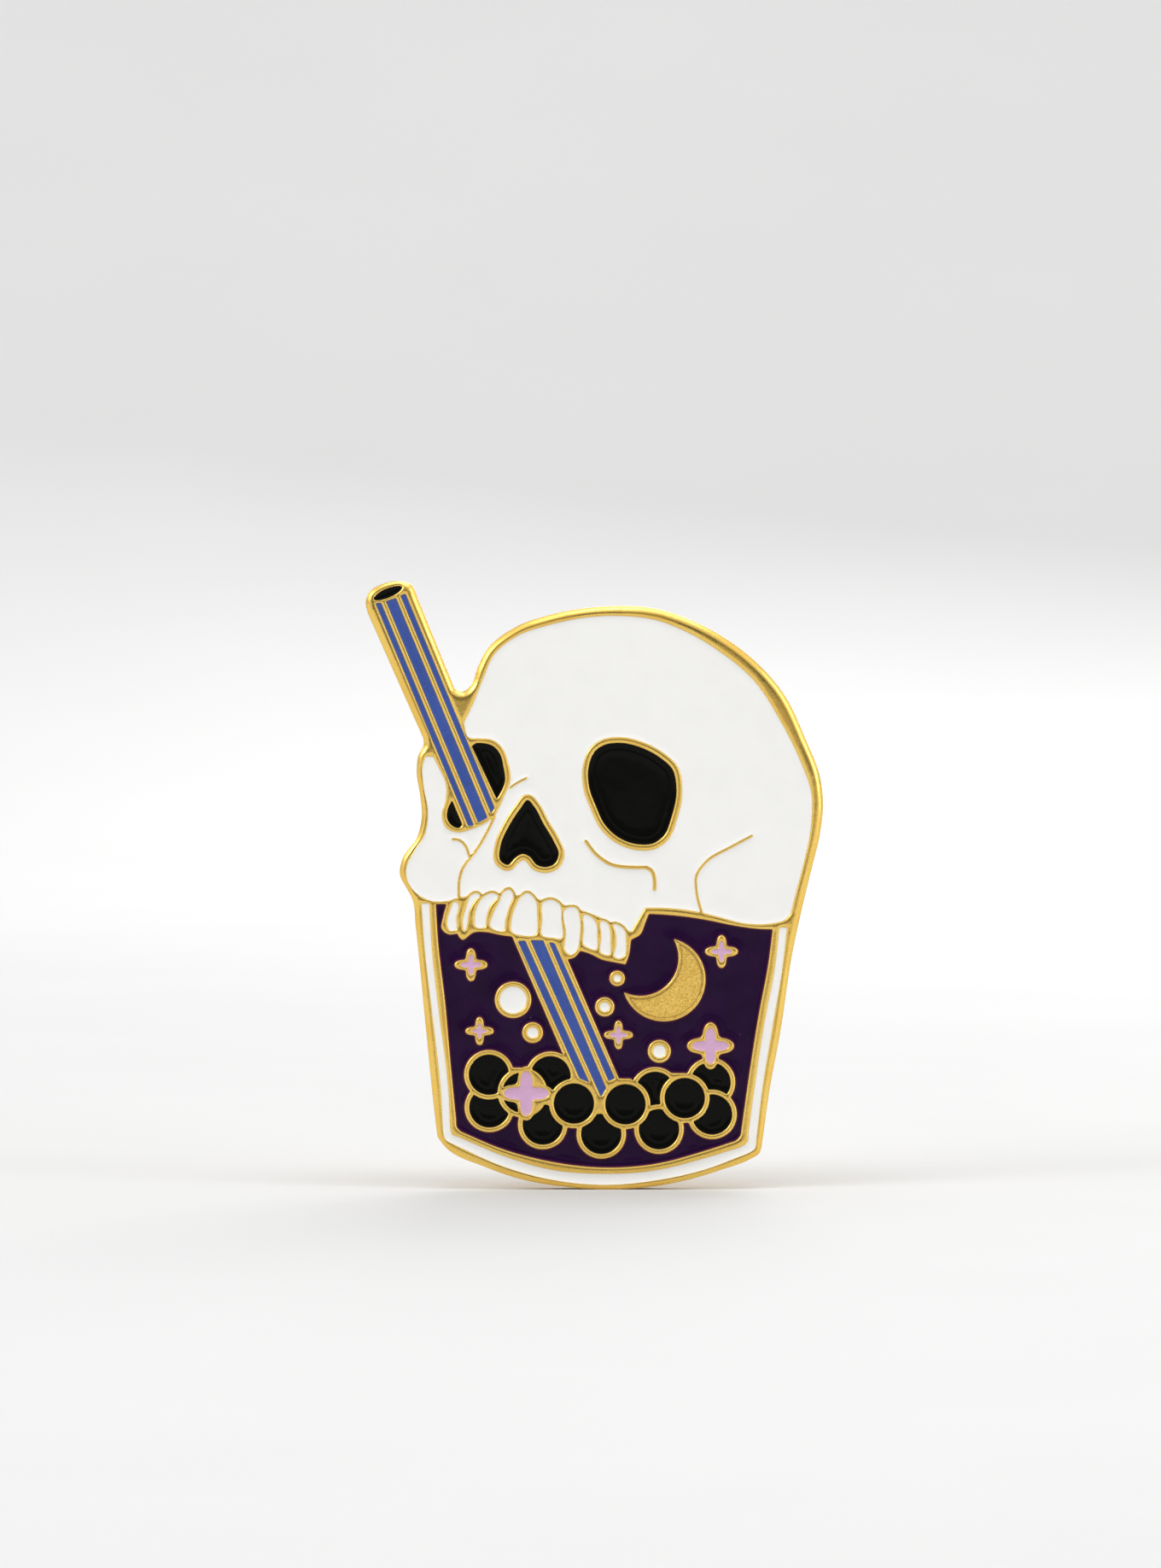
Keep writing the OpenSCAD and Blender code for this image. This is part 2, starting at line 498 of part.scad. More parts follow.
metal_base();
enamel(WHITE) cranium_pocket();  // enamel_cranium
enamel(WHITE) cheek_pocket();  // enamel_cheek
enamel(BLACK) polygon(eye_right);  // enamel_eye_right
enamel(BLACK) polygon(eye_left_upper);  // enamel_eye_left_upper
enamel(BLACK) polygon(eye_left_lower);  // enamel_eye_left_lower
enamel(BLACK) polygon(nose);  // enamel_nose
enamel(BLACK) mouth_pocket();  // enamel_straw_mouth
enamel(WHITE) polygon(wall_edge);  // enamel_cup_wall
enamel(PLUM) drink_pocket();  // enamel_drink
for (i = [1:6]) enamel(BLUE) stripe_pocket(i - 1);
for (i = [1:10]) enamel(WHITE) polygon(loop(teeth[i - 1], fine));
for (i = [1:13]) enamel(BLACK) pearl_pocket(i - 1);
for (i = [1:6]) enamel(LILAC) star_pocket(stars[i - 1]);
for (i = [1:5]) enamel(WHITE) translate([bubbles[i - 1][0], bubbles[i - 1][1]]) circle(r = bubbles[i - 1][3]);
post(1);  // post_upper
post(-1);  // post_lower
clutch_cap(1);  // clutch_cap_upper
clutch_cap(-1);  // clutch_cap_lower
clutch_housing(1);  // clutch_housing_upper
clutch_housing(-1);  // clutch_housing_lower
wing(1, 1);  // wing_upper_right
wing(1, -1);  // wing_upper_left
wing(-1, 1);  // wing_lower_right
wing(-1, -1);  // wing_lower_left
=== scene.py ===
"""Looks of the enamel pin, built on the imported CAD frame.

The outline of every enamel pocket and of the metal body is read from the frame's own nodes. From those
outlines come the finished surfaces: rounded metal lines, enamel that climbs its pocket's walls, a frosted
moon, a soft outer edge and a plain back. Lengths inside this script are millimetres, and MM turns them into
metres.
"""
import json
import math

import bpy
import numpy as np
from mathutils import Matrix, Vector, geometry, kdtree


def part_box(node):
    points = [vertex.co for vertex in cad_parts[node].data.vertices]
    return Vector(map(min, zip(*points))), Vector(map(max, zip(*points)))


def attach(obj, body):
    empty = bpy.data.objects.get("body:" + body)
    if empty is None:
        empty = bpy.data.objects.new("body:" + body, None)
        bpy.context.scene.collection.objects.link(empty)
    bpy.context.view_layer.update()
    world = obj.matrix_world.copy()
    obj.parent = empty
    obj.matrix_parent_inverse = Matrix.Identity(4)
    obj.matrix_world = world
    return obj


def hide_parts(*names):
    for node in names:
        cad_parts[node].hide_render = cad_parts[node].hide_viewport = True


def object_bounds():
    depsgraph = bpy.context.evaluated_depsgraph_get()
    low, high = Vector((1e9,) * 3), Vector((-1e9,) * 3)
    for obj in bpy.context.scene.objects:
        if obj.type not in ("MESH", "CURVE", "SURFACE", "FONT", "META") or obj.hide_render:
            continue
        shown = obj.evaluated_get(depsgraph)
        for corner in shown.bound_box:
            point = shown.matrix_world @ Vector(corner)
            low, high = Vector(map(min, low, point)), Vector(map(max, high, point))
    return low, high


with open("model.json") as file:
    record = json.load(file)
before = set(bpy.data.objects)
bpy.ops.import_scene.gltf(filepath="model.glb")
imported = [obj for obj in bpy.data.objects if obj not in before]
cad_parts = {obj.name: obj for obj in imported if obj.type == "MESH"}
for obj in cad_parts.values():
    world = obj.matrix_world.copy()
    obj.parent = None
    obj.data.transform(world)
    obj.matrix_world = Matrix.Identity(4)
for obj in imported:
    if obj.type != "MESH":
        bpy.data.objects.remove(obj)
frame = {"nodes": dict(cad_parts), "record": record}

cad_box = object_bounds()
MM = 0.001
NODES = frame["nodes"]
BODIES = frame["record"]["behaviour"]["bodies"]
SLOTS = {s["node"]: s["material_slot"] for s in frame["record"]["subparts"]}

# ---------------------------------------------------------------- sizes, in millimetres
FRONT = min(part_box("metal_base")[0][1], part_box("metal_base")[1][1]) / MM      # y of the highest metal
POCKET_FLOOR = max(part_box("enamel_cranium")[0][1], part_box("enamel_cranium")[1][1]) / MM
SHOULDER = 0.07          # how far the metal rounds down at the edge of a pocket
SHOULDER_REACH = 0.24    # and how far from the pocket that rounding starts
EDGE_DROP = 0.26         # the same for the outer edge of the pin
EDGE_REACH = 0.48
MENISCUS = 0.085         # how much lower the enamel is away from its pocket's wall
MENISCUS_REACH = 0.16
SETTLED = {"black_enamel": (0.52, 0.014), "plum_enamel": (0.42, 0.008)}     # a ridge's place and height
SETTLED_WIDTH = 0.09     # and its width
MOON_DROP = 0.1
MOON_WALL = 0.035        # half the width of the step down into the moon
MOON_CREASE_SHADE = 0.045      # width of the painted shade darkening the crease at the foot of that step
BACK_INSET = 0.3         # where the rounded outer edge meets the flat back
CORNER = 0.05            # softening of corners along an outline
STEP = 0.1               # spacing of points along an outline
RINGS = (0.03, 0.07, 0.12, 0.19, 0.27, 0.36, 0.45, 0.54, 0.64)
GRID = 0.32              # spacing of points away from the outlines
KEYS_PER_MM = 2000       # points this close together count as one when an outline is followed
LEVEL_SLACK = 0.004      # how far from a level a point may lie
LEAST_AREA = 0.004       # smaller outlines are left out, in square millimetres


# ---------------------------------------------------------------- outlines of the frame's nodes
def plane_loops(node, level):
    """Closed outlines of a node's flat faces at y = level, as (n, 2) arrays of x and z, solid on the left."""
    mesh = NODES[node].data
    co = np.array([v.co[:] for v in mesh.vertices]) / MM
    keys = [tuple(k) for k in np.round(co[:, (0, 2)] * KEYS_PER_MM).astype(int)]
    at_level = np.abs(co[:, 1] - level) < LEVEL_SLACK
    edges = set()
    for face in mesh.polygons:
        if all(at_level[v] for v in face.vertices):
            ring = [keys[v] for v in face.vertices]
            edges.update(zip(ring, ring[1:] + ring[:1]))
    following = {a: b for a, b in edges if (b, a) not in edges}
    loops = []
    while following:
        start, here = following.popitem()
        ring = [start]
        while here != start:
            ring.append(here)
            here = following.pop(here)
        loops.append(np.array(ring) / KEYS_PER_MM)
    loops.sort(key=lambda p: -abs(area(p)))
    if loops and area(loops[0]) < 0:
        loops = [p[::-1] for p in loops]
    return [p for p in loops if abs(area(p)) > LEAST_AREA]


def area(p):
    q = np.roll(p, -1, axis=0)
    return float(np.sum(p[:, 0] * q[:, 1] - q[:, 0] * p[:, 1])) / 2


def resampled(p, count):
    closed = np.vstack([p, p[:1]])
    along = np.concatenate([[0], np.cumsum(np.linalg.norm(np.diff(closed, axis=0), axis=1))])
    at = np.linspace(0, along[-1], count, endpoint=False)
    return np.column_stack([np.interp(at, along, closed[:, k]) for k in (0, 1)]), along[-1]


def softened(p, corner=CORNER, step=STEP):
    """The outline with its corners softened, as evenly spaced points."""
    length = np.sum(np.linalg.norm(np.roll(p, -1, axis=0) - p, axis=1))
    fine = max(32, int(length / 0.02))
    q, length = resampled(p, fine)
    waves = np.fft.fftfreq(fine, d=length / fine)
    blur = np.exp(-2 * (np.pi * waves * corner) ** 2)
    q = np.column_stack([np.fft.ifft(np.fft.fft(q[:, k]) * blur).real for k in (0, 1)])
    return resampled(q, max(14, int(round(length / step))))[0]


def normals(p):
    """Unit normals of an outline, towards its left."""
    t = np.roll(p, -1, axis=0) - np.roll(p, 1, axis=0)
    n = np.column_stack([-t[:, 1], t[:, 0]])
    return n / np.maximum(np.linalg.norm(n, axis=1, keepdims=True), 1e-9)


class Shore:
    """Distance to the nearest of some outlines."""

    def __init__(self, loops):
        dense = [resampled(p, max(8, 3 * len(p)))[0] for p in loops]
        self.points = np.vstack(dense)
        self.left = np.vstack([normals(p) for p in dense])
        self.tree = kdtree.KDTree(len(self.points))
        for i, (x, z) in enumerate(self.points):
            self.tree.insert((x, 0, z), i)
        self.tree.balance()

    def distance(self, p):
        """Distance of each point from the outlines, and whether it is on their left."""
        found = [self.tree.find((x, 0, z)) for x, z in p]
        index = np.array([f[1] for f in found])
        side = np.sum((p - self.points[index]) * self.left[index], axis=1)
        return np.array([f[2] for f in found]), side > 0


def inside(p, loops):
    """Even-odd test of points against outlines."""
    odd = np.zeros(len(p), bool)
    for q in loops:
        r = np.roll(q, -1, axis=0)
        for start in range(0, len(p), 4000):
            x, z = p[start:start + 4000, 0, None], p[start:start + 4000, 1, None]
            over = (q[:, 1] > z) != (r[:, 1] > z)
            rise = np.where(r[:, 1] == q[:, 1], 1, r[:, 1] - q[:, 1])
            hit = over & (x < (r[:, 0] - q[:, 0]) * (z - q[:, 1]) / rise + q[:, 0])
            odd[start:start + 4000] ^= (hit.sum(axis=1) % 2).astype(bool)
    return odd


def triangles(loops, extra):
    """Triangulates the area on the left of the outlines.

    Returns the points, the faces and the number of each outline point.
    """
    border = np.vstack(loops)
    points = np.vstack([border, extra]) if len(extra) else border
    edges, start = [], 0
    for p in loops:
        n = len(p)
        edges += [(start + i, start + (i + 1) % n) for i in range(n)]
        start += n
    out = geometry.delaunay_2d_cdt([Vector(p) for p in points], edges, [], 0, 1e-7)
    spots = np.array([v[:] for v in out[0]])
    faces = np.array([f[:] for f in out[2] if len(f) == 3])
    on_border = np.array([any(i < len(border) for i in orig) for orig in out[3]])
    maybe = on_border[faces].all(axis=1)
    keep = ~maybe
    if maybe.any():
        keep[maybe] = inside(spots[faces[maybe]].mean(axis=1), loops)
    faces = faces[keep]
    order = np.array([min(orig) if len(orig) else -1 for orig in out[3]])
    place = np.full(len(points), -1)
    place[order[order >= 0]] = np.nonzero(order >= 0)[0]
    return spots, faces, place[:len(border)]


def filled(loops, shore, grid=GRID, rings=RINGS):
    """Points inside an area: rings that follow the outlines, then a grid."""
    found = []
    for k, d in enumerate(rings):
        skip = 1 if k < 3 else 2
        ring = np.vstack([(p + d * normals(p))[::skip] for p in loops])
        gap, left = shore.distance(ring)
        found.append(ring[(gap > 0.93 * d) & left])
    lo, hi = np.vstack(loops).min(axis=0), np.vstack(loops).max(axis=0)
    xs = np.arange(lo[0], hi[0], grid)
    zs = np.arange(lo[1], hi[1], grid * 0.866)
    mesh = np.array([(x + (k % 2) * grid / 2, z) for k, z in enumerate(zs) for x in xs])
    if len(mesh):
        gap, left = shore.distance(mesh)
        found.append(mesh[(gap > rings[-1] + 0.6 * grid) & left])
    every = thinned(np.vstack(found))
    return every[inside(every, loops)]


def thinned(p, least=0.028):
    """Leaves out points that crowd an earlier one."""
    cells = np.round(p / least).astype(int)
    seen, keep = set(), []
    for i, c in enumerate(map(tuple, cells)):
        if c not in seen:
            seen.add(c)
            keep.append(i)
    return p[keep]


# ---------------------------------------------------------------- building pieces
def make(name, points, faces, material, smooth=True):
    """A mesh object from points in millimetres."""
    mesh = bpy.data.meshes.new(name)
    places = [tuple(p) for p in np.asarray(points) * MM]
    mesh.from_pydata(places, [], [tuple(int(i) for i in f) for f in faces])
    mesh.polygons.foreach_set("use_smooth", [smooth] * len(mesh.polygons))
    obj = bpy.data.objects.new(name, mesh)
    bpy.context.scene.collection.objects.link(obj)
    if material:
        mesh.materials.append(material)
    return obj


def point_values(obj, name, values):
    """Stores one number per point, for the materials."""
    layer = obj.data.attributes.new(name, "FLOAT", "POINT")
    layer.data.foreach_set("value", np.asarray(values, np.float32))


def stand_for(obj, node):
    """The piece takes the place of a CAD node, on that node's body."""
    body = next(b for b, members in BODIES.items() if node in members)
    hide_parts(node)
    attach(obj, body)


def wall(upper, lower):
    """Faces between two rings of point numbers that run the same way."""
    n = len(upper)
    return [(upper[i], lower[i], lower[(i + 1) % n], upper[(i + 1) % n]) for i in range(n)]


def split_rings(loops, numbers):
    rings, start = [], 0
    for p in loops:
        rings.append(list(numbers[start:start + len(p)]))
        start += len(p)
    return rings


# ---------------------------------------------------------------- materials
class Shader:
    """A node material being built."""

    def __init__(self, name):
        self.mat = bpy.data.materials.new(name)
        self.mat.use_nodes = True
        self.tree = self.mat.node_tree
        self.bsdf = self.tree.nodes["Principled BSDF"]
        self.place = self.add("ShaderNodeTexCoord").outputs["Object"]

    def add(self, kind, **props):
        n = self.tree.nodes.new(kind)
        for k, v in props.items():
            setattr(n, k, v)
        return n

    def link(self, a, b):
        self.tree.links.new(a, b)

    def set(self, **values):
        for name, value in values.items():
            self.bsdf.inputs[name.replace("_", " ")].default_value = value

    def noise(self, per_mm, detail, rough=0.5):
        """Noise with about per_mm features in a millimetre."""
        n = self.add("ShaderNodeTexNoise")
        n.inputs["Scale"].default_value = per_mm / MM
        n.inputs["Detail"].default_value = detail
        n.inputs["Roughness"].default_value = rough
        self.link(self.place, n.inputs["Vector"])
        return n.outputs["Fac"]

    def cells(self, per_mm):
        """Distance from the nearest of about per_mm cell centres in a millimetre."""
        n = self.add("ShaderNodeTexVoronoi", feature="F1")
        n.inputs["Scale"].default_value = per_mm / MM
        n.inputs["Randomness"].default_value = 1.0
        self.link(self.place, n.inputs["Vector"])
        return n.outputs["Distance"]

    def value_of(self, name):
        return self.add("ShaderNodeAttribute", attribute_name=name).outputs["Fac"]

    def span(self, source, lo, hi, to_lo, to_hi):
        n = self.add("ShaderNodeMapRange", interpolation_type="SMOOTHSTEP")
        for k, v in zip(("From Min", "From Max", "To Min", "To Max"), (lo, hi, to_lo, to_hi)):
            n.inputs[k].default_value = v
        self.link(source, n.inputs["Value"])
        return n.outputs["Result"]

    def math(self, kind, a, b):
        n = self.add("ShaderNodeMath", operation=kind)
        for socket, v in zip(n.inputs, (a, b)):
            if isinstance(v, (int, float)):
                socket.default_value = v
            else:
                self.link(v, socket)
        return n.outputs[0]

    def mix(self, share, a, b):
        """Mixes colours a and b by share."""
        n = self.add("ShaderNodeMix", data_type="RGBA")
        for socket, v in ((n.inputs[0], share), (n.inputs[6], a), (n.inputs[7], b)):
            if isinstance(v, tuple):
                socket.default_value = (*v, 1)
            elif isinstance(v, (int, float)):
                socket.default_value = v
            else:
                self.link(v, socket)
        return n.outputs[2]

    def colour(self, socket):
        self.link(socket, self.bsdf.inputs["Base Color"])

    def roughness(self, socket):
        self.link(socket, self.bsdf.inputs["Roughness"])

    def bumps(self, *layers):
        """Bump from (height, depth in millimetres) layers."""
        last = None
        for height, depth in layers:
            n = self.add("ShaderNodeBump")
            n.inputs["Distance"].default_value = depth * MM
            self.link(height, n.inputs["Height"])
            if last:
                self.link(last, n.inputs["Normal"])
            last = n.outputs["Normal"]
        self.link(last, self.bsdf.inputs["Normal"])


GOLD = (0.94, 0.635, 0.150)
GOLD_DEEP = (0.86, 0.50, 0.085)
GOLD_PALE = (0.98, 0.74, 0.27)


def gold_plate():
    """Polished plate with faint wear, fine grain, a frosted moon and painted shade in the crease at the
    moon's step.
    """
    s = Shader("gold_plate")
    patch = s.noise(0.35, 4, 0.6)
    grain = s.noise(14, 2)
    frost, crease_shade = s.value_of("frost"), s.value_of("crease_shade")
    base = s.mix(s.span(patch, 0.35, 0.68, 0, 0.5), GOLD, GOLD_DEEP)
    base = s.mix(s.span(grain, 0.45, 0.75, 0, 0.25), base, GOLD_PALE)
    pits = s.span(s.cells(1.7), 0.0, 0.05, 0.55, 0)
    base = s.mix(pits, base, (0.30, 0.17, 0.05))
    sand = s.mix(s.span(s.noise(9, 4, 0.7), 0.35, 0.65, 0, 1), (0.70, 0.41, 0.06), (0.97, 0.70, 0.20))
    # painted shade: a dark brown colour laid into the crease at the foot of the moon's step, where shadow
    # falls
    s.colour(s.mix(s.math("MULTIPLY", crease_shade, 0.75), s.mix(frost, base, sand), (0.16, 0.07, 0.01)))
    polish = s.math("ADD", s.span(patch, 0.3, 0.7, 0.20, 0.31), s.span(grain, 0.3, 0.8, 0, 0.06))
    s.roughness(s.math("ADD", polish, s.math("MULTIPLY", frost, 0.17)))
    s.set(Metallic=1.0)
    frosted = s.math("MULTIPLY", s.noise(13, 4, 0.7), frost)
    s.bumps((s.noise(2.2, 3), 0.006), (grain, 0.0015), (frosted, 0.036))
    return s.mat


def gold_back():
    """The plated back: an even, fine stipple."""
    s = Shader("gold_back")
    stipple = s.cells(6.5)
    patch = s.noise(0.3, 4, 0.6)
    s.colour(s.mix(s.span(patch, 0.3, 0.7, 0, 0.6), GOLD, GOLD_DEEP))
    s.roughness(s.math("ADD", s.span(stipple, 0, 0.8, 0.38, 0.28), s.span(patch, 0.3, 0.7, 0, 0.08)))
    s.set(Metallic=1.0)
    s.bumps((stipple, 0.016), (s.noise(12, 2), 0.005))
    return s.mat


def brass(name, tone, rough, brushed):
    """Stamped or drawn brass under a thin plate."""
    s = Shader(name)
    patch = s.noise(0.6, 4, 0.6)
    fine = s.noise(18, 2)
    dark = tuple(c * 0.72 for c in tone)
    base = s.mix(s.span(patch, 0.35, 0.75, 0, 0.6), tone, dark)
    s.colour(s.mix(s.span(s.cells(2.3), 0, 0.06, 0.5, 0), base, (0.25, 0.15, 0.06)))
    s.roughness(s.math("ADD", s.span(patch, 0.3, 0.7, rough, rough + 0.1), s.span(fine, 0.3, 0.8, 0, 0.07)))
    s.set(Metallic=1.0)
    s.bumps((s.noise(2.5, 3), 0.008 * brushed), (fine, 0.002))
    return s.mat


def enamel(name, tone, rough=0.16, specular=0.5, under=(0.62, 0.42, 0.14), veil=0.12, dust=0.4, shade=0.04):
    """Soft enamel: an even pour that lets the metal wall show at its thin edge, with a few specks of dust."""
    s = Shader(name)
    rim = s.value_of("rim")
    dark = tuple(c * (1 - shade) for c in tone)
    base = s.mix(s.span(s.noise(0.5, 3), 0.35, 0.7, 0, 1), tone, dark)
    base = s.mix(s.span(rim, 0, veil, 0.55, 0), base, under)
    speck = s.span(s.cells(0.42), 0.006, 0.02, dust, 0)
    light = tuple(0.5 + 0.3 * c if max(tone) < 0.3 else 0.55 * c for c in tone)
    s.colour(s.mix(speck, base, light))
    sheen = s.span(s.noise(1.2, 3), 0.3, 0.7, rough, rough + 0.06)
    s.roughness(s.math("ADD", sheen, s.math("MULTIPLY", speck, 0.3)))
    s.set(Specular_IOR_Level=specular, IOR=1.5)
    s.bumps((s.noise(0.35, 2), 0.02), (s.noise(3.5, 2), 0.0012))
    return s.mat


MATERIALS = {
    "gold_plate": gold_plate(),
    "gold_back": gold_back(),
    "clutch_brass": brass("clutch_brass", (0.86, 0.60, 0.20), 0.24, 1.0),
    "post_metal": brass("post_metal", (0.84, 0.61, 0.24), 0.28, 0.6),
    "white_enamel": enamel("white_enamel", (0.885, 0.88, 0.855), 0.2, 0.4,
                           (0.80, 0.66, 0.36), 0.1, 0.35, 0.02),
    "black_enamel": enamel("black_enamel", (0.0033, 0.0033, 0.0028), 0.08, 0.075,
                           (0.05, 0.03, 0.01), 0.06, 0.25),
    "blue_enamel": enamel("blue_enamel", (0.046, 0.092, 0.35), 0.24, 0.25,
                           (0.16, 0.14, 0.12), 0.08, 0.3, 0.12),
    "plum_enamel": enamel("plum_enamel", (0.0178, 0.0038, 0.0302), 0.1, 0.09,
                           (0.16, 0.03, 0.05), 0.14, 0.5, 0.25),
    "lilac_enamel": enamel("lilac_enamel", (0.665, 0.40, 0.605), 0.25, 0.4,
                           (0.62, 0.42, 0.35), 0.1, 0.2, 0.06),
}

# ---------------------------------------------------------------- the enamel and the metal's face
enamel_nodes = [n for n in BODIES["pin"] if n.startswith("enamel_")]
pockets = {}
for node in enamel_nodes:
    level = min(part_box(node)[0][1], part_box(node)[1][1]) / MM
    pockets[node] = [softened(p) for p in plane_loops(node, level)]
outer = softened(plane_loops("metal_base", 0.0)[0], 0.06)
moon_loops = [softened(p) for p in plane_loops("metal_base", FRONT + MOON_DROP)]


def pour(node, loops):
    """The enamel of one pocket: it climbs the wall all round and lies lower in the middle."""
    shore = Shore(loops)
    spots, faces, border = triangles(loops, filled(loops, shore))
    gap = shore.distance(spots)[0]
    gap[border] = 0
    drop = SHOULDER + MENISCUS * (1 - np.exp(-gap / MENISCUS_REACH))
    where, high = SETTLED.get(SLOTS[node], (1, 0))
    drop -= high * np.exp(-((gap - where) / SETTLED_WIDTH) ** 2)
    top = np.column_stack([spots[:, 0], FRONT + drop, spots[:, 1]])
    low = np.vstack(loops)
    bottom = np.column_stack([low[:, 0], np.full(len(low), POCKET_FLOOR), low[:, 1]])
    points = np.vstack([top, bottom])
    count = len(top)
    every = [tuple(f) for f in faces]
    for up, down in zip(split_rings(loops, border), split_rings(loops, range(count, len(points)))):
        every += [tuple(reversed(f)) for f in wall(up, down)]
    seen, edge = triangles(loops, np.zeros((0, 2)))[1:]
    renumber = {int(e): count + i for i, e in enumerate(edge)}
    for f in seen:
        if all(int(i) in renumber for i in f):
            every.append(tuple(renumber[int(i)] for i in reversed(f)))
    obj = make(node + "_fill", points, every, MATERIALS[SLOTS[node]])
    point_values(obj, "rim", np.concatenate([gap, np.zeros(len(low))]))
    stand_for(obj, node)


for node, loops in pockets.items():
    pour(node, loops)


def rounding(gap, drop, reach):
    return drop * (1 - np.clip(gap / reach, 0, 1)) ** 2


def metal_face():
    """The metal body's raised lines, pocket walls, frosted moon and rounded edge, up to the flat back."""
    holes = [p[::-1] for loops in pockets.values() for p in loops]
    loops = [outer] + holes
    every_shore, hole_shore, edge_shore = Shore(loops), Shore(holes), Shore([outer])
    moon_shore = Shore(moon_loops)
    extra = [filled(loops, every_shore)]
    for p in moon_loops:
        for d in (-MOON_WALL, MOON_WALL, 0.0):
            extra.append(p + d * normals(p))
        extra.append(filled([p], moon_shore, 0.2))
    extra = thinned(np.vstack(extra[1:] + extra[:1]), 0.03)
    spots, faces, border = triangles(loops, extra)
    to_hole = hole_shore.distance(spots)[0]
    to_edge = edge_shore.distance(spots)[0]
    to_hole[border[len(outer):]] = 0
    to_edge[border[:len(outer)]] = 0
    in_moon = inside(spots, moon_loops)
    moon_gap = moon_shore.distance(spots)[0] * np.where(in_moon, 1, -1)
    sunk = np.clip((moon_gap + MOON_WALL) / (2 * MOON_WALL), 0, 1)
    frost = sunk * sunk * (3 - 2 * sunk)
    # where the painted shade darkens the foot of the step down into the moon
    crease_shade = np.exp(-((moon_gap - MOON_WALL) / MOON_CREASE_SHADE) ** 2)
    drop = rounding(to_hole, SHOULDER, SHOULDER_REACH) + rounding(to_edge, EDGE_DROP, EDGE_REACH)
    drop += MOON_DROP * frost
    points = [np.column_stack([spots[:, 0], FRONT + drop, spots[:, 1]])]
    every = [tuple(f) for f in faces]
    count = len(spots)
    marks = [np.column_stack([frost, crease_shade])]

    def add(rows):
        nonlocal count
        points.append(rows)
        marks.append(np.zeros((len(rows), 2)))
        count += len(rows)
        return list(range(count - len(rows), count))

    rings = split_rings(loops, border)
    floors = []
    for p, ring in zip(holes, rings[1:]):
        low = add(np.column_stack([p[:, 0], np.full(len(p), POCKET_FLOOR), p[:, 1]]))
        every += [tuple(reversed(f)) for f in wall(ring, low)]
        floors.append((p, low))
    inward = normals(outer)
    ring = rings[0]
    for inset, y in ((0, -0.9), (0, -0.2), (0.05, -0.07), (0.16, -0.008), (BACK_INSET, 0)):
        q = outer + inset * inward
        low = add(np.column_stack([q[:, 0], np.full(len(q), y), q[:, 1]]))
        every += [tuple(reversed(f)) for f in wall(ring, low)]
        ring = low
    return points, every, marks, floors, ring, outer + BACK_INSET * inward, add


points, every, marks, floors, back_ring, back_outline, add = metal_face()
for loops in pockets.values():
    numbers = []
    for p in loops:
        mine = next(low for q, low in floors if len(q) == len(p) and np.allclose(q[::-1], p))
        numbers += mine[::-1]
    seen, edge = triangles(loops, np.zeros((0, 2)))[1:]
    renumber = {int(e): numbers[i] for i, e in enumerate(edge)}
    every += [tuple(renumber[int(i)] for i in f) for f in seen if all(int(i) in renumber for i in f)]

posts = {end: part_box("post_" + end) for end in ("upper", "lower")}
centres = {end: (b[0][2] + b[1][2]) / MM / 2 for end, b in posts.items()}
HEAD_R = (posts["upper"][1][0] - posts["upper"][0][0]) / MM / 2
HEAD_T = -posts["upper"][0][1] / MM
SEAT_R = HEAD_R + 0.03
turn = np.linspace(0, 2 * np.pi, 64, endpoint=False)
seats = [np.column_stack([SEAT_R * np.cos(turn), z + SEAT_R * np.sin(turn)])[::-1] for z in centres.values()]
back_loops = [back_outline] + seats
spots, faces, border = triangles(back_loops, filled(back_loops, Shore(back_loops), 0.9, (0.3,)))
rings = split_rings(back_loops, border)
numbers = {int(b): int(r) for b, r in zip(rings[0], back_ring)}
fresh = [i for i in range(len(spots)) if i not in numbers]
new = add(np.column_stack([spots[fresh, 0], np.zeros(len(fresh)), spots[fresh, 1]]))
numbers.update(zip(fresh, new))
back_faces = [tuple(numbers[int(i)] for i in reversed(f)) for f in faces]
for p, ring in zip(seats, rings[1:]):
    up = [numbers[int(i)] for i in ring]
    low = add(np.column_stack([p[:, 0], np.full(len(p), -HEAD_T - 0.02), p[:, 1]]))
    mid = add(np.array([[0, -HEAD_T - 0.02, p[:, 1].mean()]]))[0]
    back_faces += [tuple(reversed(f)) for f in wall(up, low)]
    back_faces += [(low[i], low[(i + 1) % len(low)], mid) for i in range(len(low))]
body = make("metal_body", np.vstack(points), every + back_faces, MATERIALS["gold_plate"])
body.data.materials.append(MATERIALS["gold_back"])
for k in range(len(every), len(body.data.polygons)):
    body.data.polygons[k].material_index = 1
point_values(body, "frost", np.vstack(marks)[:, 0])
# the painted shade at the foot of the moon's step, for the material
point_values(body, "crease_shade", np.vstack(marks)[:, 1])
stand_for(body, "metal_base")


# ---------------------------------------------------------------- posts and clutches
def lathe(name, profile, centre, material, count=96):
    """Turns a profile of (radius, y) about a post's axis. Radius 0 closes the form, and any other start makes
    it a ring."""
    points, rows = [], []
    for r, y in profile:
        if r < 1e-6:
            rows.append([len(points)])
            points.append((0, y, centre))
        else:
            angles = np.linspace(0, 2 * np.pi, count, endpoint=False)
            rows.append(list(range(len(points), len(points) + count)))
            points += [(r * math.cos(a), y, centre + r * math.sin(a)) for a in angles]
    if profile[0][0] > 1e-6:
        rows.append(rows[0])
    faces = []
    for a, b in zip(rows, rows[1:]):
        for i in range(count):
            j = (i + 1) % count
            ring = [a[i % len(a)], a[j % len(a)], b[j % len(b)], b[i % len(b)]]
            ring = [v for k, v in enumerate(ring) if v not in ring[:k]]
            faces.append(tuple(ring))
    return make(name, points, faces, material)


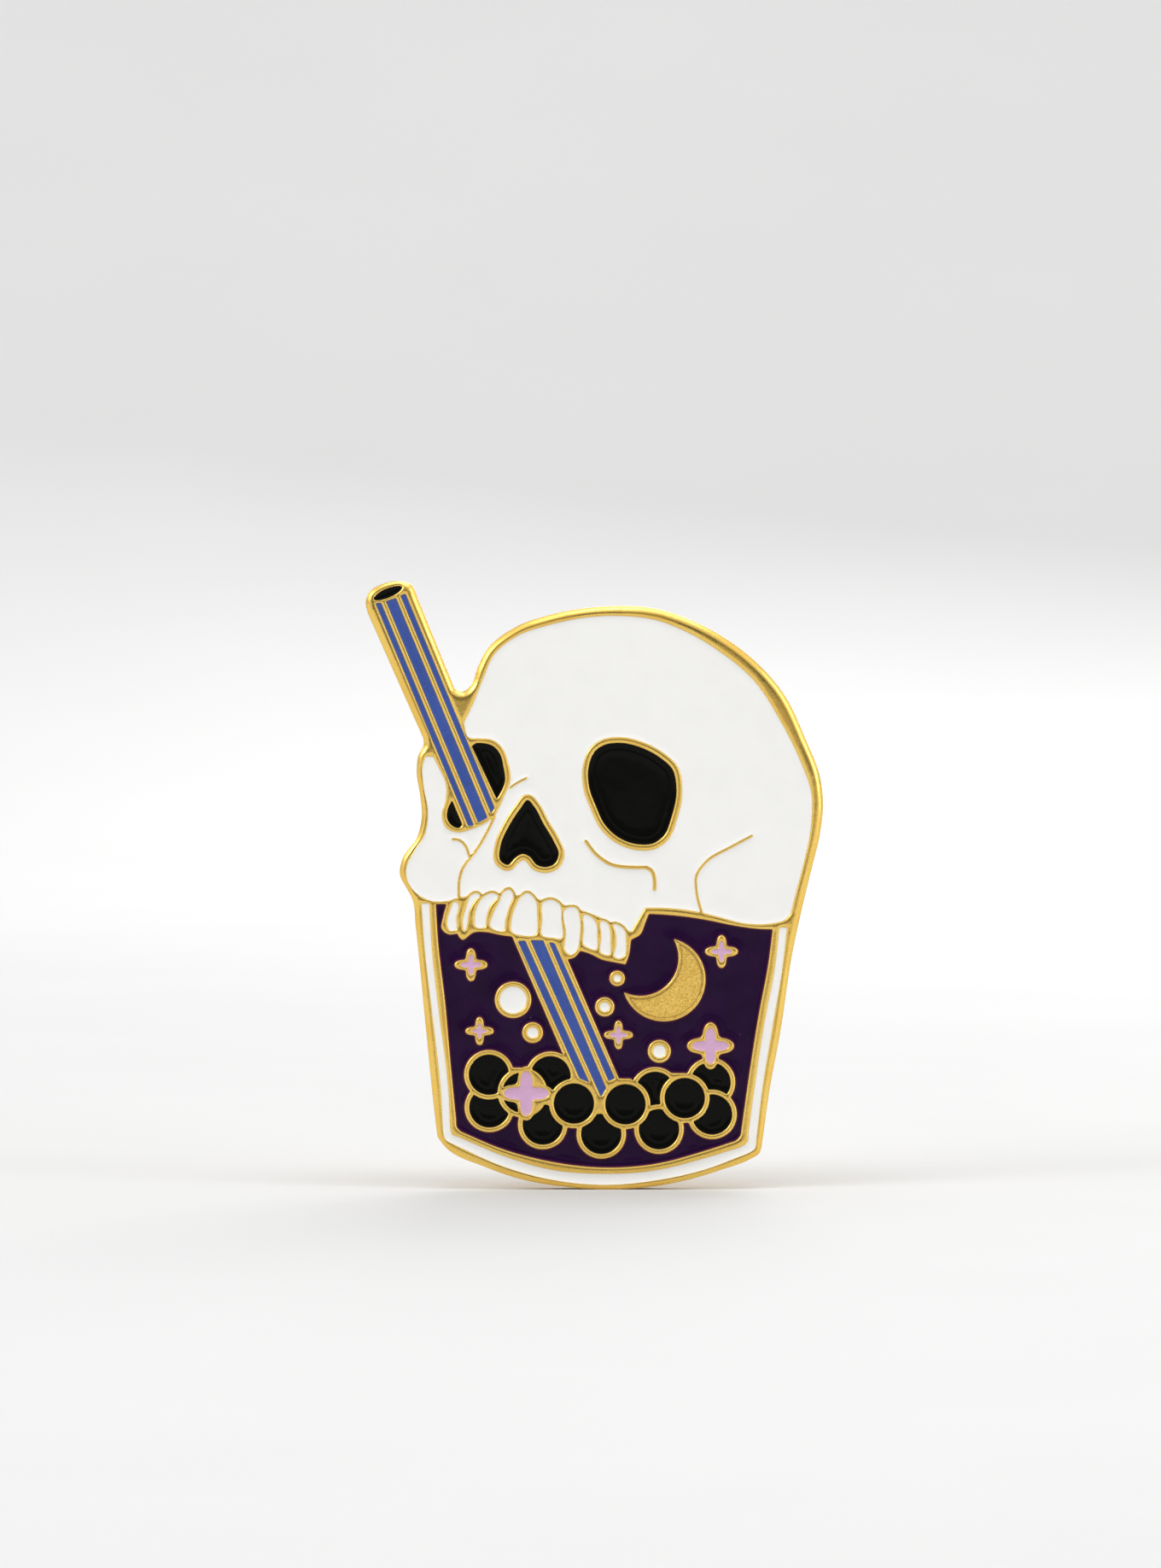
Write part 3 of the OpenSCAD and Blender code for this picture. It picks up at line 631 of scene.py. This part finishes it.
def eased(corners, radius=0.06, steps=3, closed=False):
    """Rounds the corners of a profile; the ends of an open one stay."""
    n = len(corners)
    span = range(n) if closed else range(1, n - 1)
    out = [] if closed else [corners[0]]
    for i in span:
        a, b, c = (np.array(corners[k % n], float) for k in (i - 1, i, i + 1))
        u, v = a - b, c - b
        lengths = np.linalg.norm(u), np.linalg.norm(v)
        r = min(radius, 0.45 * lengths[0], 0.45 * lengths[1])
        p, q = b + u / lengths[0] * r, b + v / lengths[1] * r
        for t in np.linspace(0, 1, steps + 1):
            out.append(tuple((1 - t) ** 2 * p + 2 * t * (1 - t) * b + t * t * q))
    return out if closed else out + [corners[-1]]


def cut_out(obj, cutter):
    """Takes the cutter's shape out of the object."""
    mod = obj.modifiers.new("cut", "BOOLEAN")
    mod.operation, mod.solver, mod.object = "DIFFERENCE", "EXACT", cutter
    bpy.context.view_layer.update()
    seen = obj.evaluated_get(bpy.context.evaluated_depsgraph_get())
    mesh = bpy.data.meshes.new_from_object(seen)
    obj.modifiers.clear()
    old, obj.data = obj.data, mesh
    bpy.data.meshes.remove(old)
    bpy.data.objects.remove(cutter)


def soften_edges(obj, width, angle, segments):
    """A small bevel on the object's sharp edges."""
    mod = obj.modifiers.new("edges", "BEVEL")
    mod.width, mod.segments = width * MM, segments
    mod.limit_method, mod.angle_limit = "ANGLE", math.radians(angle)
    mod.harden_normals = False


def block(name, lo, hi, corner, count=6):
    """A bar along z with rounded corners in the xz plane, from lo to hi in millimetres."""
    outline = []
    for cx, cz, start in ((hi[0] - corner, hi[2] - corner, 0), (lo[0] + corner, hi[2] - corner, 90),
                          (lo[0] + corner, lo[2] + corner, 180), (hi[0] - corner, lo[2] + corner, 270)):
        for a in np.radians(np.linspace(start, start + 90, count)):
            outline.append((cx + corner * math.cos(a), cz + corner * math.sin(a)))
    n = len(outline)
    points = [(x, y, z) for y in (lo[1], hi[1]) for x, z in outline]
    faces = [(i, (i + 1) % n, n + (i + 1) % n, n + i) for i in range(n)]
    faces += [tuple(reversed(range(n))), tuple(range(n, 2 * n))]
    obj = make(name, points, faces, None, smooth=False)
    obj.data.flip_normals()
    return obj


POST_R, WELD_R, WELD_H = 0.55, 0.9, 0.3
GROOVE_AT, GROOVE_W, GROOVE_DEPTH = 4.75, 0.6, 0.17
TIP_LEN, TIP_R = 0.9, 0.1
RIM_H, BEAD_R, LIP_R = 1.0, 3.4, 0.95
CROWN_HOLE_R, SHEET, SLOT_IN, SLOT_OUT, SLOT_LEN = 1.2, 0.4, 2.35, 3.75, 5.3


def post(end):
    """A round post with a soldered foot, a groove near its end and a blunt point."""
    centre, tip = centres[end], posts[end][1][1] / MM
    solder = [(WELD_R + 0.05 - 0.4 * math.sin(a), 0.02 + WELD_H * (1 - math.cos(a)))
              for a in np.linspace(0, math.pi / 2, 6)]
    waist = [(POST_R, GROOVE_AT), (POST_R - GROOVE_DEPTH, GROOVE_AT + GROOVE_DEPTH),
             (POST_R - GROOVE_DEPTH, GROOVE_AT + GROOVE_W - GROOVE_DEPTH), (POST_R, GROOVE_AT + GROOVE_W)]
    point = [(POST_R, tip - TIP_LEN), (TIP_R + 0.06, tip - 0.03), (0, tip)]
    head = [(0, -HEAD_T), (HEAD_R, -HEAD_T), (HEAD_R, 0.005), (WELD_R + 0.3, 0.012)]
    profile = eased(head + solder + waist + point, 0.05)
    obj = lathe("post_" + end + "_turned", profile, centre, MATERIALS["post_metal"], 72)
    stand_for(obj, "post_" + end)


def clutch(end):
    """A clutch's two stampings: the cap with its rolled rim, and the housing with a slot for each wing."""
    centre = centres[end]
    lo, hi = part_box("clutch_cap_" + end)
    base, cap_r = lo[1] / MM, (hi[0] - lo[0]) / MM / 2
    hole_r = POST_R + 0.05
    lo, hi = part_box("clutch_housing_" + end)
    crown, drum_r = hi[1] / MM, (hi[0] - lo[0]) / MM / 2
    plate = base + SHEET
    cap = [(LIP_R, base), (BEAD_R - 0.5, base), (BEAD_R, base + 0.18), (BEAD_R + 0.5, base),
           (cap_r - 0.2, base), (cap_r, base + 0.2), (cap_r, base + RIM_H), (drum_r + 0.005, base + RIM_H),
           (drum_r + 0.005, plate), (hole_r, plate), (hole_r, base + 0.2)]
    obj = lathe("cap_" + end + "_stamped", eased(cap, 0.12, 4, closed=True), centre,
                MATERIALS["clutch_brass"], 128)
    stand_for(obj, "clutch_cap_" + end)
    housing = [(drum_r, plate + 0.005), (drum_r, crown - 0.5), (drum_r - 0.5, crown), (CROWN_HOLE_R, crown),
               (CROWN_HOLE_R, crown - SHEET), (drum_r - 0.65, crown - SHEET), (drum_r - SHEET, crown - 0.75),
               (drum_r - SHEET, plate + 0.005)]
    obj = lathe("housing_" + end + "_stamped", eased(housing, 0.22, 5, closed=True), centre,
                MATERIALS["clutch_brass"], 128)
    for side in (1, -1):
        xs = sorted((side * SLOT_IN, side * SLOT_OUT))
        cutter = block("slot_cutter", (xs[0], crown - 2 * SHEET, centre - SLOT_LEN / 2),
                       (xs[1], crown + SHEET, centre + SLOT_LEN / 2), 0.3)
        cut_out(obj, cutter)
    obj.data.polygons.foreach_set("use_smooth", [True] * len(obj.data.polygons))
    obj.data.set_sharp_from_angle(angle=math.radians(40))
    stand_for(obj, "clutch_housing_" + end)


WING_PATH = ((0.12, 1.4), (1.7, 1.4), (2.35, 1.65), (2.8, 2.15), (3.15, 2.75), (3.9, 3.6), (5.2, 4.65),
             (5.85, 5.05), (6.2, 4.95))
WING_T, JAW_W, JAW_LEN = 0.36, 3.0, 2.0
WING_ALONG, WING_ACROSS = 46, 25       # points along the strip, and across it
NOTCH_ROWS = 12                        # how many rows of points from the jaw's end the notch can reach
WING_CORNER = 1.1
WIDEN = 0.24                           # the stretch over which the jaw widens into the wing


def smooth_path(points, count):
    """Evenly spaced points on a smooth curve through the given ones."""
    p = np.array(points, float)
    t = np.concatenate([[0], np.cumsum(np.linalg.norm(np.diff(p, axis=0), axis=1))])
    slope = np.gradient(p, t, axis=0)
    at = np.linspace(0, t[-1], count)
    k = np.clip(np.searchsorted(t, at, side="right") - 1, 0, len(t) - 2)
    h = (t[k + 1] - t[k])[:, None]
    u = ((at - t[k])[:, None]) / h
    return (p[k] * (2 * u ** 3 - 3 * u ** 2 + 1) + slope[k] * h * (u ** 3 - 2 * u ** 2 + u)
            + p[k + 1] * (3 * u ** 2 - 2 * u ** 3) + slope[k + 1] * h * (u ** 3 - u ** 2)), at


def wing(end, hand):
    """A bent strip: its notched jaw holds the post, and its raised wing is squeezed to let go."""
    name = "wing_" + end + "_" + hand
    side = 1 if hand == "right" else -1
    centre = centres[end]
    lo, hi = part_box(name)
    wide = (hi[2] - lo[2]) / MM
    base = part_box("clutch_cap_" + end)[0][1] / MM
    path, along = smooth_path(WING_PATH, WING_ALONG)
    t = np.gradient(path, axis=0)
    t /= np.linalg.norm(t, axis=1, keepdims=True)
    out = np.column_stack([-t[:, 1], t[:, 0]])
    total = along[-1]
    points, faces = [], []
    across = WING_ACROSS
    for i, (p, s) in enumerate(zip(path, along)):
        half = wide / 2
        from_tip = total - s
        if from_tip < WING_CORNER:
            half -= WING_CORNER - math.sqrt(max(WING_CORNER ** 2 - (WING_CORNER - from_tip) ** 2, 0.0))
        blend = min(max((p[0] - JAW_LEN + WIDEN / 2) / WIDEN, 0), 1)
        half += (JAW_W / 2 - half) * (1 - blend * blend * (3 - 2 * blend))
        for face in (0.5, -0.5):
            for k in range(across):
                w = (2 * k / (across - 1) - 1) * half
                x, y = p + out[i] * face * WING_T
                notch = POST_R + 0.03
                if abs(w) < notch and i < NOTCH_ROWS:
                    x = max(x, math.sqrt(notch ** 2 - w ** 2))
                points.append((side * x, base + y, centre + w))
    row = 2 * across
    for i in range(len(path) - 1):
        a, b = i * row, (i + 1) * row
        for k in range(across - 1):
            faces.append((a + k, a + k + 1, b + k + 1, b + k))
            faces.append((a + across + k, b + across + k, b + across + k + 1, a + across + k + 1))
        faces.append((a, b, b + across, a + across))
        faces.append((a + across - 1, a + row - 1, b + row - 1, b + across - 1))
    last = (len(path) - 1) * row
    for k in range(across - 1):
        faces.append((k, k + across, k + 1 + across, k + 1))
        faces.append((last + k, last + k + 1, last + across + k + 1, last + across + k))
    obj = make(name + "_bent", points, faces, MATERIALS["gold_plate"])
    if side > 0:
        obj.data.flip_normals()
    soften_edges(obj, 0.09, 50, 3)
    stand_for(obj, name)


for end in posts:
    post(end)
    clutch(end)
    for hand in ("right", "left"):
        wing(end, hand)


# ---------------------------------------------------------------- room, lights and camera
def plain_material(name, tone, rough):
    s = Shader(name)
    s.colour(s.mix(s.span(s.noise(0.02, 2), 0.3, 0.7, 0, 1), tone, tuple(c * 0.985 for c in tone)))
    s.roughness(s.span(s.noise(0.05, 2), 0.3, 0.7, rough, rough + 0.05))
    return s.mat


FLAT, RISE = 430.0, 600.0      # radius of the floor's flat part, and of the curve that takes it up
STEEP = 0.90                   # the slope at which that curve ends, in radians
OPEN_FROM, OPEN_TO = 50, 80    # degrees from the camera's side over which the surround comes up


def studio_floor(level):
    """A round pale floor that curves up into a surround, left open towards the camera."""
    count = 120
    points, rows = [(0, 0, level)], []
    profile = [(FLAT, 0.0)]
    profile += [(FLAT + RISE * math.sin(a), RISE * (1 - math.cos(a))) for a in np.linspace(0.04, STEEP, 22)]
    for reach, height in profile:
        rows.append(list(range(len(points), len(points) + count)))
        for turned in np.linspace(0, 2 * math.pi, count, endpoint=False):
            off = abs((math.degrees(turned) + 180) % 360 - 180)
            up = min(max((off - OPEN_FROM) / (OPEN_TO - OPEN_FROM), 0), 1)
            up = up * up * (3 - 2 * up)
            points.append((reach * math.sin(turned), -reach * math.cos(turned), level + height * up))
    faces = [(0, rows[0][i], rows[0][(i + 1) % count]) for i in range(count)]
    for low, high in zip(rows, rows[1:]):
        faces += wall(low, high)
    return make("floor", points, faces, plain_material("pale_floor", (0.625, 0.625, 0.623), 0.8))


studio_floor(cad_box[0][2] / MM)


def softbox(name, place, target, size, power):
    """A flat rectangular light at a place, facing the target."""
    light = bpy.data.lights.new(name, "AREA")
    light.shape, light.size, light.size_y = "RECTANGLE", size[0] * MM, size[1] * MM
    light.energy = power
    obj = bpy.data.objects.new(name, light)
    bpy.context.scene.collection.objects.link(obj)
    obj.location = Vector(place) * MM
    obj.rotation_euler = ((Vector(target) - Vector(place)) * MM).to_track_quat("-Z", "Y").to_euler()


def room(dim, bright):
    """Even light from all round, dimmer on the side of the camera."""
    world = bpy.data.worlds.new("room")
    bpy.context.scene.world = world
    world.use_nodes = True
    tree = world.node_tree
    place = tree.nodes.new("ShaderNodeTexCoord")
    split = tree.nodes.new("ShaderNodeSeparateXYZ")
    ramp = tree.nodes.new("ShaderNodeMapRange")
    ramp.interpolation_type = "SMOOTHSTEP"
    for name, value in (("From Min", -0.99), ("From Max", -0.70), ("To Min", dim), ("To Max", bright)):
        ramp.inputs[name].default_value = value
    tree.links.new(place.outputs["Generated"], split.inputs["Vector"])
    tree.links.new(split.outputs["Y"], ramp.inputs["Value"])
    background = tree.nodes["Background"]
    background.inputs["Color"].default_value = (1.0, 1.0, 1.0, 1.0)
    tree.links.new(ramp.outputs["Result"], background.inputs["Strength"])


room(0.086, 0.865)
softbox("left_light", (-420, -300, 300), (0, 0, 0), (240, 200), 0.92)
softbox("right_light", (460, -240, 160), (0, 0, 0), (120, 380), 0.52)
softbox("top_light", (40, -160, 520), (0, 0, 0), (420, 160), 0.87)
softbox("back_light", (160, 460, 260), (0, 0, 0), (420, 360), 1.15)
softbox("wall_light", (0, 600, 400), (0, 800, 100), (1000, 120), 0.9)

AIM = (-0.93, 0.0, 6.47)
DISTANCE, TILT, SEEN_HIGH = 620.0, 2.0, 100.6
camera = bpy.data.objects.new("camera", bpy.data.cameras.new("camera"))
bpy.context.scene.collection.objects.link(camera)
back = Vector((0, -math.cos(math.radians(TILT)), math.sin(math.radians(TILT))))
camera.location = (Vector(AIM) + back * DISTANCE) * MM
camera.rotation_euler = (-back).to_track_quat("-Z", "Y").to_euler()
camera.data.sensor_width = 36.0
camera.data.lens = 36.0 * DISTANCE / SEEN_HIGH
camera.data.clip_start, camera.data.clip_end = 0.02, 5.0
bpy.context.scene.camera = camera
bpy.context.scene.view_settings.view_transform = "Standard"
